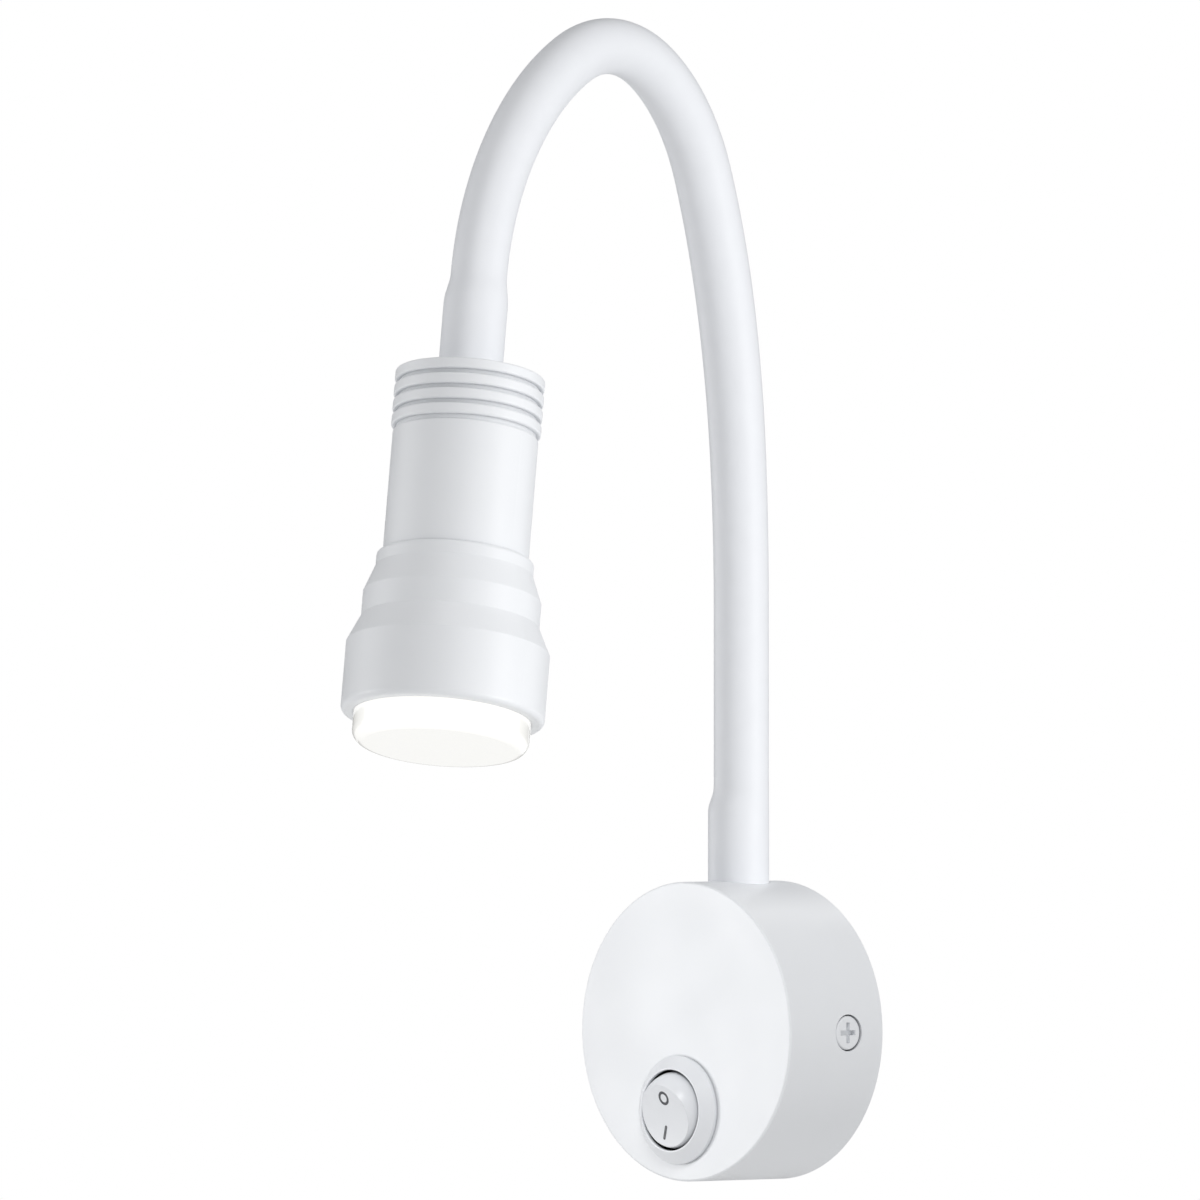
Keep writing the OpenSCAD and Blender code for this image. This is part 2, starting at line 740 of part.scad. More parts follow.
module switch_housing() {
    color(switch_white) on_switch() difference() {
        union() {
            rotate_extrude() switch_ring_section();
            translate([0, 0, -switch_body_depth]) cylinder(r = switch_barrel_r, h = switch_body_depth + nothing);
            for (side = [-1, 1]) translate([side * (switch_barrel_r - wing_size[0] / 2 + 0.9), 0,
                -case_wall - slip - wing_size[2] / 2]) cube(wing_size, center = true);
        }
        translate([0, 0, -well_depth]) cylinder(r = well_r, h = well_depth + switch_ring_h + 1);
        translate([-chamber[0] / 2, -chamber[1] / 2, floor_t - switch_body_depth])
            cube([chamber[0], chamber[1], switch_body_depth]);
        translate([0, 0, rocker_pivot_h]) rotate([0, 90, 0])
            cylinder(d = rocker_pin_d + 2 * running, h = 2 * switch_barrel_r - slip, center = true);
        for (at = [0, load_at]) translate([-terminal_width / 2 - slip, at - terminal_t / 2 - slip, -switch_body_depth - 1])
            cube([terminal_width + 2 * slip, terminal_t + 2 * slip, floor_t + 2]);
    }
}

module switch_terminals() {
    load_top = fulcrum_w + contact_lift * cos(contact_tilt) - load_at * sin(contact_tilt) - contact_t - stop_room;
    foot = -switch_body_depth - terminal_len;
    color(brass) on_switch() {
        difference() {
            translate([-terminal_width / 2, -terminal_t / 2, foot])
                cube([terminal_width, terminal_t, fulcrum_w - foot]);
            translate([0, 0, foot + 3]) rotate([90, 0, 0]) cylinder(d = 1.6, h = 4, center = true);
        }
        translate([0, 0, fulcrum_w]) rotate([0, 90, 0]) cylinder(d = fulcrum_d, h = terminal_width, center = true);
        difference() {
            translate([-terminal_width / 2, load_at - terminal_t / 2, foot])
                cube([terminal_width, terminal_t, load_top - foot]);
            translate([0, load_at, foot + 3]) rotate([90, 0, 0]) cylinder(d = 1.6, h = 4, center = true);
        }
    }
}

module rocker() {
    color(switch_white) on_rocker() difference() {
        union() {
            intersection() {
                sphere(r = rocker_r);
                translate([-rocker_r, -rocker_r, -rocker_skirt])
                    cube([2 * rocker_r, 2 * rocker_r, rocker_skirt + rocker_face]);
            }
            rotate([0, 90, 0]) cylinder(d = rocker_pin_d, h = 2 * (switch_barrel_r - slip - running), center = true);
            translate([0, 0, -rocker_boss_len]) cylinder(d = rocker_boss_d, h = rocker_boss_len);
        }
        translate([0, 0, rocker_face + dish_r - rocker_dish]) rotate([0, 90, 0])
            cylinder(r = dish_r, h = 3 * rocker_r, center = true);
        translate([0, 0, -rocker_boss_len - 1]) cylinder(d = plunger_d + 2 * running, h = rocker_boss_len + 1 + spring_room);
    }
}

module rocker_plunger() {
    color("ivory") on_rocker() {
        translate([0, 0, plunger_d / 2 - plunger_reach]) sphere(d = plunger_d);
        translate([0, 0, plunger_d / 2 - plunger_reach]) cylinder(d = plunger_d, h = plunger_len - plunger_d / 2);
    }
}

module rocker_spring() {
    foot = plunger_len - plunger_reach;
    color(steel) on_rocker() translate([0, 0, foot])
        coil(plunger_d / 2 - spring_wire_d / 2 - running, spring_wire_d / 2, spring_turns, spring_room - foot);
}

module switch_contact() {
    color(brass) on_switch() translate([0, 0, fulcrum_w]) rotate([-contact_tilt, 0, 0]) difference() {
        translate([0, 0, contact_lift]) union() {
            translate([-contact_size[0] / 2, -contact_size[1] / 2, -contact_t / 2])
                cube([contact_size[0], contact_size[1], contact_t]);
            translate([-contact_size[0] / 2, -fulcrum_d, -contact_lift]) cube([contact_size[0], 2 * fulcrum_d, contact_lift]);
        }
        rotate([0, 90, 0]) cylinder(d = fulcrum_d + 2 * running, h = 2 * terminal_width, center = true);
    }
}

// The neck

module base_nipple() {
    color(steel) on_seat() nipple(seat_depth + nut_t + stem_over);
}

module base_nut() {
    color(steel) on_seat() translate([0, 0, -seat_depth]) mirror([0, 0, 1]) fitting_nut();
}

module base_sleeve() {
    color(sleeve_white) round_end(0) difference() {
        on_seat() rotate_extrude() bulge_section(base_bulge_d, base_bulge_len, drum_r + link_spare);
        on_wall() cylinder(r = base_r + slip, h = base_depth);
    }
}

module base_hose() {
    color(steel) round_end(0) on_seat() translate([0, 0, fitting_shoulder_t])
        linear_extrude(foot_z + link_spare - seat_v - fitting_shoulder_t) hose_section();
}

module sleeve(i) {
    color(sleeve_white) neck_link(i - 1) sleeve_section();
}

module hose(i) {
    color(steel) neck_link(i - 1) hose_section();
}

module leads(i) {
    color("white") neck_link(i - 1) lead_section();
}

// The head

module head_sleeve() {
    color(sleeve_white) at_link(links) hollow_foot(links) translate([0, 0, head_top]) mirror([0, 0, 1])
        rotate_extrude() bulge_section(head_bulge_d, head_bulge_len, tip_len - bulge_taper + link_lap);
}

module head_hose() {
    color(steel) at_link(links) hollow_foot(links) translate([0, 0, -link_lap])
        linear_extrude(link_lap + head_top - fitting_shoulder_t) hose_section();
}

module head_nipple() {
    color(steel) on_head() mirror([0, 0, 1]) nipple(barrel_top + nut_t + stem_over);
}

module head_nut() {
    color(steel) on_head() translate([0, 0, barrel_top]) fitting_nut();
}

module head_body() {
    ring_h = ring_pitch - ring_groove;
    rings_end = rings * ring_pitch;
    color(shell_white) on_head() rotate_extrude() difference() {
        union() {
            square([groove_d / 2, rings_end]);
            for (i = [0:rings - 1]) translate([0, i * ring_pitch]) rounded_step(ring_d / 2, ring_h, ring_edge);
            translate([0, rings_end]) rounded_step(barrel_r, barrel_len - rings_end, ring_edge);
            translate([0, barrel_len - 2 * ring_edge]) square([barrel_r, 2 * ring_edge]);
            square([thread_r, barrel_len + thread_len]);
        }
        translate([0, -1]) square([fitting_d / 2 + slip, barrel_top + 2]);
        translate([0, barrel_top]) square([barrel_bore_r, barrel_len + thread_len]);
    }
}

module heat_spreader() {
    color(steel) on_head() translate([0, 0, spreader_z]) difference() {
        cylinder(r = barrel_bore_r - running, h = spreader_t);
        translate([0, 0, -1]) cylinder(r = wire_hole_r, h = spreader_t + 2);
        for (side = [-1, 1]) translate([side * led_screw_at, 0, -1])
            cylinder(d = led_screw_d + 2 * running, h = spreader_t + 2);
    }
}

module led_board() {
    color("white") on_head() translate([0, 0, board_z]) difference() {
        cylinder(d = led_board_d, h = led_board_t);
        for (side = [-1, 1]) translate([side * led_screw_at, 0, -1])
            cylinder(d = led_screw_d + 2 * slip, h = led_board_t + 2);
    }
}

module led_chip() {
    color("khaki") on_head() translate([0, 0, reflector_z]) rotate_extrude() rounded_disc(led_d / 2, led_h, 0.3);
}

module led_screws() {
    color(steel) on_head() for (side = [-1, 1]) translate([side * led_screw_at, 0, reflector_z]) difference() {
        union() {
            rotate_extrude() rounded_disc(led_screw_head_d / 2, led_screw_head_h, 0.4);
            translate([0, 0, -led_screw_len]) cylinder(d = led_screw_d, h = led_screw_len + nothing);
        }
        translate([0, 0, led_screw_head_h]) cross_recess(led_screw_head_d * 0.6);
    }
}

// The cone stands on the LED board between the LED and the board's screws
module reflector() {
    foot_r = led_d / 2 + 2 * slip;
    foot_h = led_screw_head_h + 2 * slip;
    rim_r = lamp_room_r - slip;
    end = reflector_end - reflector_z;
    color("gainsboro") on_head() translate([0, 0, reflector_z]) rotate_extrude()
        polygon([[foot_r, 0], [foot_r + reflector_wall, 0], [foot_r + reflector_wall, foot_h],
                 [rim_r, end - reflector_wall], [rim_r, end], [rim_r - reflector_wall, end], [foot_r, foot_h]]);
}

module head_bezel() {
    color(shell_white) on_head() rotate_extrude() difference() {
        union() {
            translate([0, barrel_len]) rounded_step(bezel_d1 / 2, bezel_h1 + bezel_top_edge, bezel_top_edge);
            polygon([[0, barrel_len + bezel_h1], [bezel_d1 / 2, barrel_len + bezel_h1], [bezel_d2 / 2, bezel_z2],
                     [bezel_d2 / 2, bezel_z2 + bezel_h2], [bezel_d3 / 2, bezel_z3], [0, bezel_z3]]);
            translate([0, bezel_z3]) rounded_disc(bezel_d3 / 2, bezel_h3, bezel_edge);
        }
        translate([0, barrel_len - 1]) square([thread_r + slip, thread_len + 1]);
        polygon([[0, board_z - 1], [thread_r + slip, board_z - 1], [thread_r + slip, board_z],
                 [lamp_room_r, bezel_z3], [lamp_room_r, ledge_z + nothing], [0, ledge_z + nothing]]);
        translate([0, ledge_z]) square([lens_r + slip, bezel_end]);
        translate([lens_r, bead_z]) circle(r = bead_r + slip);
    }
}

module lens() {
    color([1, 1, 0.97]) on_head() translate([0, 0, lens_top]) rotate_extrude() difference() {
        union() {
            rounded_disc(lens_r, lens_in + lens_out, lens_edge);
            translate([lens_r, bead_z - lens_top]) circle(r = bead_r);
        }
        translate([0, -1]) rounded_disc(lens_r - lens_wall, lens_in + lens_out - lens_wall + 1, max(lens_edge - lens_wall, 0.3));
    }
}

module lens_seal() {
    color("silver") on_head() translate([0, 0, seal_z]) rotate_extrude() translate([seal_r, 0]) circle(d = seal_d);
}

module head_wires() {
    color("white") at_link(links) hollow_foot(links) translate([0, 0, -link_lap])
        rotate([0, 0, 90]) linear_extrude(link_lap + head_top + board_z) lead_section();
}

casing();
wall_plate();
side_screws();
cable_bush();
terminal_block();
terminal_screws();
earth_screw();
driver_board();
board_spacers();
transformer();
capacitors();
base_wires();
switch_housing();
switch_terminals();
rocker();
rocker_plunger();
rocker_spring();
switch_contact();
base_nipple();
base_nut();
base_sleeve();
base_hose();
for (i = [1:links]) {
    sleeve(i);
    hose(i);
    leads(i);
}
head_sleeve();
head_hose();
head_nipple();
head_nut();
head_body();
heat_spreader();
led_board();
led_chip();
led_screws();
reflector();
head_bezel();
lens();
lens_seal();
head_wires();
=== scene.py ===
# %% [markdown]
# # A wall light with a bendable neck
#
# This lesson dresses a white wall light in Blender: a round base with a rocker switch, a neck that arches
# over, and a stepped spot head whose frosted lens glows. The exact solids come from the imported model. Hard
# parts keep their solids and get a finish. The neck's sleeve and the hose inside it are modelled here,
# because they have to bend, and so are the two marks printed on the switch.

# %% Load the frame
import json
import math

import bpy
from mathutils import Matrix, Vector

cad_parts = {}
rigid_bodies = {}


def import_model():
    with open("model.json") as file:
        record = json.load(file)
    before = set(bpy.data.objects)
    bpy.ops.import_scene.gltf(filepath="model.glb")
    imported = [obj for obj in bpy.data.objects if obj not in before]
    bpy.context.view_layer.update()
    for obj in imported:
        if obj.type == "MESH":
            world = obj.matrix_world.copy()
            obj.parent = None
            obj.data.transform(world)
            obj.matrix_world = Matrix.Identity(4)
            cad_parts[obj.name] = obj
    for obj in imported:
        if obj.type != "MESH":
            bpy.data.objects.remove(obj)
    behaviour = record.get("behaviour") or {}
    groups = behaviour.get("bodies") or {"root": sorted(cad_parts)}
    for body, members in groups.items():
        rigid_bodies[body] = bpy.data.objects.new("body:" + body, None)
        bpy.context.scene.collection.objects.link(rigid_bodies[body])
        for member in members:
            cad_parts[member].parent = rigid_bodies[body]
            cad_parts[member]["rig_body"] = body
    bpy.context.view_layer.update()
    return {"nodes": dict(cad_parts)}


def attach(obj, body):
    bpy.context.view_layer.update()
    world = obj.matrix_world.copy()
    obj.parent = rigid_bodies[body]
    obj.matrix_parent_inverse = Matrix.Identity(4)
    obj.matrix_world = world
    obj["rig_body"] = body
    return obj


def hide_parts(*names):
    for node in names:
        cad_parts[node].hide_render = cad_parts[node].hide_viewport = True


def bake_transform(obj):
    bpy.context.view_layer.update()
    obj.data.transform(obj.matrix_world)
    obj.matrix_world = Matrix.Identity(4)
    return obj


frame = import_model()
nodes = frame["nodes"]
MM = 0.001

# %% [markdown]
# ## The camera
#
# The picture looks level at the light from 46 degrees to its right side, from far away, so upright lines
# stay upright. A long lens at four metres gives that calm view. The aim point is the middle of the picture.

# %% Camera
VIEW_TURN = math.radians(46)
BACK = Vector((math.sin(VIEW_TURN), -math.cos(VIEW_TURN), 0))
RIGHT = Vector((math.cos(VIEW_TURN), math.sin(VIEW_TURN), 0))
UP = Vector((0, 0, 1))
AIM_RIGHT = -38.65
AIM_BACK = 10
AIM_UP = 93.63
AIM = RIGHT * (AIM_RIGHT * MM) + BACK * (AIM_BACK * MM) + UP * (AIM_UP * MM)
CAMERA_DISTANCE = 4.0
PICTURE_WIDTH = 260.87 * MM
SENSOR_WIDTH = 36
FAR_END = 100

camera_data = bpy.data.cameras.new("long_lens")
camera_data.sensor_width = SENSOR_WIDTH
camera_data.lens = SENSOR_WIDTH * CAMERA_DISTANCE / PICTURE_WIDTH
camera_data.clip_end = FAR_END
camera = bpy.data.objects.new("camera", camera_data)
camera.location = AIM + BACK * CAMERA_DISTANCE
camera.rotation_euler = (math.pi / 2, 0, VIEW_TURN)
scene = bpy.context.scene
scene.collection.objects.link(camera)
scene.camera = camera
print("lens:", round(camera_data.lens, 1), "mm")

# %% [markdown]
# ## Tools for finishes
#
# Colours are written as the hex values that a paint card would give. Blender works in linear light, so one
# function converts them. A second function adds a shader node: what names a socket fills that socket or
# links to it, and what names a setting sets it. Patterns use object coordinates, which are metres here, so
# a grain of half a millimetre has a scale of 1 / 0.0005. Noise rarely leaves the middle of its range, so a
# finish stretches the part from 0.3 to 0.7.

# %% Colour and node helpers
def linear(hex_colour):
    """The linear colour of a six-digit sRGB hex value."""
    shares = [int(hex_colour[i:i + 2], 16) / 255 for i in (0, 2, 4)]
    return [s / 12.92 if s <= 0.04045 else ((s + 0.055) / 1.055) ** 2.4 for s in shares] + [1.0]


def add_node(tree, kind, sockets=None, **settings):
    """Adds a node. Sockets take a value, or another node's output as a link."""
    made = tree.nodes.new(kind)
    for name, value in settings.items():
        setattr(made, name, value)
    for name, value in (sockets or {}).items():
        named = [s for i, s in enumerate(made.inputs) if s.enabled and name in (i, s.name)]
        if isinstance(value, bpy.types.NodeSocket):
            tree.links.new(value, named[0])
        else:
            named[0].default_value = value
    return made


def start_material(name):
    """An empty material with its node tree."""
    material = bpy.data.materials.new(name)
    material.use_nodes = True
    material.node_tree.nodes.clear()
    return material, material.node_tree


def grain(size_mm):
    """Noise scale for a grain of that size."""
    return 1 / (size_mm * MM)


NOISE_LOW = 0.3
NOISE_HIGH = 0.7
print("white paint in linear light:", [round(v, 3) for v in linear("F1F1F2")[:3]])

# %% [markdown]
# ## Powder coat
#
# The base and the head are cast aluminium under a white powder coat. The powder melts in an oven and levels
# out, but never fully: it keeps a faint orange peel about a millimetre wide, and a satin shine that wanders
# a little. The peel comes from noise through a bump node, so the solids stay as they are. Grey painted shade
# darkens its grooves and inner corners: an ambient occlusion node finds those places by how much of the sky
# they see. The side screws are steel under the same white, baked on thinner and smoother.

# %% Powder coat
CREVICE_SHADE = "A9ABAF"
FULL_SHADE_SKY = 0.2
NO_SHADE_SKY = 0.85
SKY_RAYS = 8
EDGE_RAYS = 6
DRIFT_WIDTH = 14
COAT_WANDER = 0.04


def coated_finish(name, colour, shade, roughness, peel_mm, peel_height_mm,
                  crevice_mm=0, shade_colour=CREVICE_SHADE, edge_mm=0):
    """A pigmented finish of two close tones with a shallow peel. It can add painted shade in crevices and
    soft edges.
    """
    material, tree = start_material(name)
    place = add_node(tree, "ShaderNodeTexCoord")
    peel = add_node(tree, "ShaderNodeTexNoise", {
        "Vector": place.outputs["Object"], "Scale": grain(peel_mm), "Detail": 2.0, "Roughness": 0.45})
    drift = add_node(tree, "ShaderNodeTexNoise", {
        "Vector": place.outputs["Object"], "Scale": grain(peel_mm * DRIFT_WIDTH), "Detail": 1.0})
    tone = add_node(tree, "ShaderNodeMix", {
        "Factor": drift.outputs["Fac"], "A": linear(shade), "B": linear(colour)}, data_type="RGBA")
    shine = add_node(tree, "ShaderNodeMapRange", {
        "Value": drift.outputs["Fac"], "From Min": NOISE_LOW, "From Max": NOISE_HIGH,
        "To Min": roughness - COAT_WANDER, "To Max": roughness + COAT_WANDER})
    # Painted shade: where the occlusion node sees little sky, the tone is mixed towards a grey.
    if crevice_mm:
        open_sky = add_node(tree, "ShaderNodeAmbientOcclusion", {
            "Distance": crevice_mm * MM}, samples=SKY_RAYS)
        unshaded = add_node(tree, "ShaderNodeMapRange", {
            "Value": open_sky.outputs["AO"], "From Min": FULL_SHADE_SKY, "From Max": NO_SHADE_SKY})
        tone = add_node(tree, "ShaderNodeMix", {
            "Factor": unshaded.outputs["Result"], "A": linear(shade_colour), "B": tone.outputs[2]}, data_type="RGBA")
    relief = add_node(tree, "ShaderNodeBump", {
        "Height": peel.outputs["Fac"], "Distance": peel_height_mm * MM, "Strength": 1.0})
    if edge_mm:
        edge = add_node(tree, "ShaderNodeBevel", {"Radius": edge_mm * MM}, samples=EDGE_RAYS)
        tree.links.new(edge.outputs["Normal"], relief.inputs["Normal"])
    surface = add_node(tree, "ShaderNodeBsdfPrincipled", {
        "Base Color": tone.outputs[2], "Roughness": shine.outputs["Result"],
        "Normal": relief.outputs["Normal"], "IOR": 1.5})
    add_node(tree, "ShaderNodeOutputMaterial", {"Surface": surface.outputs["BSDF"]})
    return material


powder_coat = coated_finish("white_powder_coat", "EFF1F4", "ECEEF1", 0.42, 1.1, 0.006, crevice_mm=0.9)
coated_steel = coated_finish("white_coated_steel", "EFF1F4", "ECEEF1", 0.36, 0.7, 0.004, edge_mm=0.15)
print("coats:", powder_coat.name, coated_steel.name)

# %% [markdown]
# ## Moulded nylon and printed ink
#
# The switch is a bought part, moulded in white nylon. The mould was spark eroded, which leaves a fine even
# texture of about a quarter millimetre. Drawn twice as coarse it just shows in the picture. A moulded edge
# is never quite sharp, so a bevel node rounds it for the light. Inside the well, below the white lip, a mask
# paints the housing near black as painted shade, so the gap round the button looks deep. Its crevices get a
# darker painted shade than the coat's. The two marks on the button are printed in dark grey ink, which lies
# flat and dull.

# %% Nylon and ink
SWITCH_X = -1.8
SWITCH_UP = -17
SWITCH_OUT = 28
WELL_R = 8.8
WELL_MARGIN = 0.05
LIP_OUT = 2.2
# A darker grey of painted shade for the crevices of button and housing.
DARK_CREVICE_SHADE = "76787C"
switch_nylon = coated_finish(
    "moulded_white_nylon", "EEF0F3", "EBEDF1", 0.34, 0.5, 0.003,
    crevice_mm=0.8, shade_colour=DARK_CREVICE_SHADE, edge_mm=0.25)
housing_nylon = coated_finish(
    "white_nylon_shaded_well", "EEF0F3", "EBEDF1", 0.34, 0.5, 0.003,
    crevice_mm=0.8, shade_colour=DARK_CREVICE_SHADE, edge_mm=0.15)
# Painted shade: inside the well, below the white lip, the housing's colour is mixed to near black.
tree = housing_nylon.node_tree
place = add_node(tree, "ShaderNodeTexCoord")
from_axis = add_node(tree, "ShaderNodeVectorMath", {
    0: place.outputs["Object"], 1: (SWITCH_X * MM, 0, SWITCH_UP * MM)}, operation="SUBTRACT")
across = add_node(tree, "ShaderNodeVectorMath", {
    0: from_axis.outputs["Vector"], 1: (1, 0, 1)}, operation="MULTIPLY")
reach = add_node(tree, "ShaderNodeVectorMath", {0: across.outputs["Vector"]}, operation="LENGTH")
depth = add_node(tree, "ShaderNodeSeparateXYZ", {0: place.outputs["Object"]})
inside = add_node(tree, "ShaderNodeMath", {
    0: reach.outputs["Value"], 1: (WELL_R + WELL_MARGIN) * MM}, operation="LESS_THAN")
below = add_node(tree, "ShaderNodeMath", {
    0: depth.outputs["Y"], 1: -(SWITCH_OUT + LIP_OUT) * MM}, operation="GREATER_THAN")
in_well = add_node(tree, "ShaderNodeMath", {
    0: inside.outputs["Value"], 1: below.outputs["Value"]}, operation="MULTIPLY")
nylon_surface = tree.nodes["Principled BSDF"]
white_tone = nylon_surface.inputs["Base Color"].links[0].from_socket
well_shade = add_node(tree, "ShaderNodeMix", {
    "Factor": in_well.outputs["Value"], "A": white_tone, "B": linear("1D1D1F")}, data_type="RGBA")
tree.links.new(well_shade.outputs[2], nylon_surface.inputs["Base Color"])
mark_ink = coated_finish("printed_grey_ink", "55565A", "4C4D51", 0.6, 0.3, 0.002)
print("switch:", switch_nylon.name, "marks:", mark_ink.name)

# %% [markdown]
# ## Silicone sleeve
#
# The neck is covered by a white silicone sleeve, extruded as a tube. Silicone is soft and slightly waxy:
# its shine is broad, and light goes in a little way, which would not show on a white this bright and is
# left out. The extruder leaves a faint unevenness of a few millimetres along the tube.

# %% Silicone
SKIN_GRAIN = 0.6
SKIN_HEIGHT = 0.004
RIPPLE_WIDTH = 5
sleeve_silicone, tree = start_material("white_silicone_sleeve")
place = add_node(tree, "ShaderNodeTexCoord")
skin = add_node(tree, "ShaderNodeTexNoise", {
    "Vector": place.outputs["Object"], "Scale": grain(SKIN_GRAIN), "Detail": 2.0, "Roughness": 0.5})
ripple = add_node(tree, "ShaderNodeTexNoise", {
    "Vector": place.outputs["Object"], "Scale": grain(RIPPLE_WIDTH), "Detail": 1.0})
tone = add_node(tree, "ShaderNodeMix", {
    "Factor": ripple.outputs["Fac"], "A": linear("ECEEF2"), "B": linear("EFF1F5")}, data_type="RGBA")
shine = add_node(tree, "ShaderNodeMapRange", {
    "Value": skin.outputs["Fac"], "From Min": NOISE_LOW, "From Max": NOISE_HIGH,
    "To Min": 0.46, "To Max": 0.56})
relief = add_node(tree, "ShaderNodeBump", {
    "Height": skin.outputs["Fac"], "Distance": SKIN_HEIGHT * MM, "Strength": 1.0})
surface = add_node(tree, "ShaderNodeBsdfPrincipled", {
    "Base Color": tone.outputs[2], "Roughness": shine.outputs["Result"], "Normal": relief.outputs["Normal"],
    "IOR": 1.42})
add_node(tree, "ShaderNodeOutputMaterial", {"Surface": surface.outputs["BSDF"]})
print("sleeve:", sleeve_silicone.name)

# %% [markdown]
# ## Frosted acrylic, switched on
#
# The lens is opal acrylic that spreads the light of the LED behind it, so it glows evenly and slightly
# warm. Tracing that light through the plastic would be slow and noisy. A gentle emission on a grey satin
# surface under a clear coat looks the same, and stays below the point where the picture clips: the grey
# adds little light of its own, and the coat mirrors the studio along the edges. The LED itself glows behind
# the lens in the same way.

# %% Lens and LED
FROST_GRAIN = 0.5
PHOSPHOR_GRAIN = 0.3
LENS_GLOW = 0.94
LED_GLOW = 2.0
lens_acrylic, tree = start_material("frosted_acrylic")
place = add_node(tree, "ShaderNodeTexCoord")
frost = add_node(tree, "ShaderNodeTexNoise", {
    "Vector": place.outputs["Object"], "Scale": grain(FROST_GRAIN), "Detail": 2.0})
haze = add_node(tree, "ShaderNodeMapRange", {
    "Value": frost.outputs["Fac"], "From Min": NOISE_LOW, "From Max": NOISE_HIGH,
    "To Min": 0.42, "To Max": 0.5})
glow = add_node(tree, "ShaderNodeMix", {
    "Factor": frost.outputs["Fac"], "A": linear("FFFEF9"), "B": linear("FFFFFE")}, data_type="RGBA")
surface = add_node(tree, "ShaderNodeBsdfPrincipled", {
    "Base Color": linear("5F5F5C"), "Roughness": haze.outputs["Result"], "IOR": 1.49, "Coat Weight": 1.0,
    "Coat Roughness": 0.12, "Emission Color": glow.outputs[2], "Emission Strength": LENS_GLOW})
add_node(tree, "ShaderNodeOutputMaterial", {"Surface": surface.outputs["BSDF"]})

led_phosphor, tree = start_material("led_phosphor")
place = add_node(tree, "ShaderNodeTexCoord")
powder = add_node(tree, "ShaderNodeTexNoise", {
    "Vector": place.outputs["Object"], "Scale": grain(PHOSPHOR_GRAIN)})
yellow = add_node(tree, "ShaderNodeMix", {
    "Factor": powder.outputs["Fac"], "A": linear("F2CF5A"), "B": linear("F7DE83")}, data_type="RGBA")
surface = add_node(tree, "ShaderNodeBsdfPrincipled", {
    "Base Color": yellow.outputs[2], "Roughness": 0.4, "Emission Color": linear("FFF3D6"),
    "Emission Strength": LED_GLOW})
add_node(tree, "ShaderNodeOutputMaterial", {"Surface": surface.outputs["BSDF"]})
print("light:", lens_acrylic.name, led_phosphor.name)

# %% [markdown]
# ## Metals inside
#
# Wall plate, fittings and screws are zinc plated, the hose is wound from steel strip, the heat spreader is
# turned aluminium and the contacts are brass. While the light is whole only the back of the wall plate and
# the end of the earth screw show; the rest shows once it is taken apart. Fine streaks in colour and
# roughness keep them from looking like plastic.

# %% Metals
STREAK_STRETCH = 0.08
METAL_WANDER = 0.06


def metal_finish(name, colour, shade, roughness, streak_mm):
    """A bare or plated metal with fine streaks along z."""
    material, tree = start_material(name)
    place = add_node(tree, "ShaderNodeTexCoord")
    stretched = add_node(tree, "ShaderNodeMapping", {
        "Vector": place.outputs["Object"], "Scale": (1, 1, STREAK_STRETCH)})
    streak = add_node(tree, "ShaderNodeTexNoise", {
        "Vector": stretched.outputs["Vector"], "Scale": grain(streak_mm), "Detail": 3.0})
    tone = add_node(tree, "ShaderNodeMix", {
        "Factor": streak.outputs["Fac"], "A": linear(shade), "B": linear(colour)}, data_type="RGBA")
    shine = add_node(tree, "ShaderNodeMapRange", {
        "Value": streak.outputs["Fac"], "From Min": NOISE_LOW, "From Max": NOISE_HIGH,
        "To Min": roughness - METAL_WANDER, "To Max": roughness + METAL_WANDER})
    surface = add_node(tree, "ShaderNodeBsdfPrincipled", {
        "Base Color": tone.outputs[2], "Roughness": shine.outputs["Result"], "Metallic": 1.0})
    add_node(tree, "ShaderNodeOutputMaterial", {"Surface": surface.outputs["BSDF"]})
    return material


zinc_plate = metal_finish("zinc_plated_steel", "C9CCD1", "B4B8BE", 0.36, 0.5)
hose_strip = metal_finish("wound_steel_strip", "A2A5AA", "8C9096", 0.4, 0.6)
turned_aluminium = metal_finish("turned_aluminium", "D2D4D7", "C0C3C7", 0.3, 0.4)
brass = metal_finish("brass", "D6B56A", "C39F52", 0.32, 0.5)
print("metals:", zinc_plate.name, hose_strip.name, turned_aluminium.name, brass.name)

# %% [markdown]
# ## Plastics inside
#
# Terminal block, circuit boards, tape, wire skins and rubber parts are all coloured right through, so they
# use the same two tone finish as the coats, each with its own colour, shine and grain.

# %% Plastics
block_nylon = coated_finish("ivory_nylon", "E2DCC8", "DAD3BC", 0.45, 0.6, 0.003)
board_green = coated_finish("green_solder_mask", "1F6B45", "19593A", 0.35, 0.9, 0.004)
board_white = coated_finish("white_solder_mask", "EDEDE8", "E6E6E0", 0.35, 0.9, 0.003)
winding_tape = coated_finish("yellow_winding_tape", "D9AC3A", "CFA02F", 0.42, 1.5, 0.01)
can_sleeve = coated_finish("dark_shrink_sleeve", "23263A", "1C1F30", 0.3, 1.2, 0.004)
wire_skin = coated_finish("wire_skin", "D8D3CC", "CFC9C1", 0.5, 0.6, 0.004)
reflector_white = coated_finish("white_reflector", "F4F4F2", "F0F0ED", 0.25, 0.8, 0.002)
bush_rubber = coated_finish("black_rubber", "2C2C2E", "262628", 0.7, 0.5, 0.01)
seal_rubber = coated_finish("grey_silicone_seal", "C4C4C3", "BCBCBB", 0.55, 0.5, 0.005)
print("plastics: from", block_nylon.name, "to", seal_rubber.name)

# %% [markdown]
# ## Dressing the solids
#
# Each solid takes its finish by name. A solid keeps its mesh and its place, only its material slot changes.

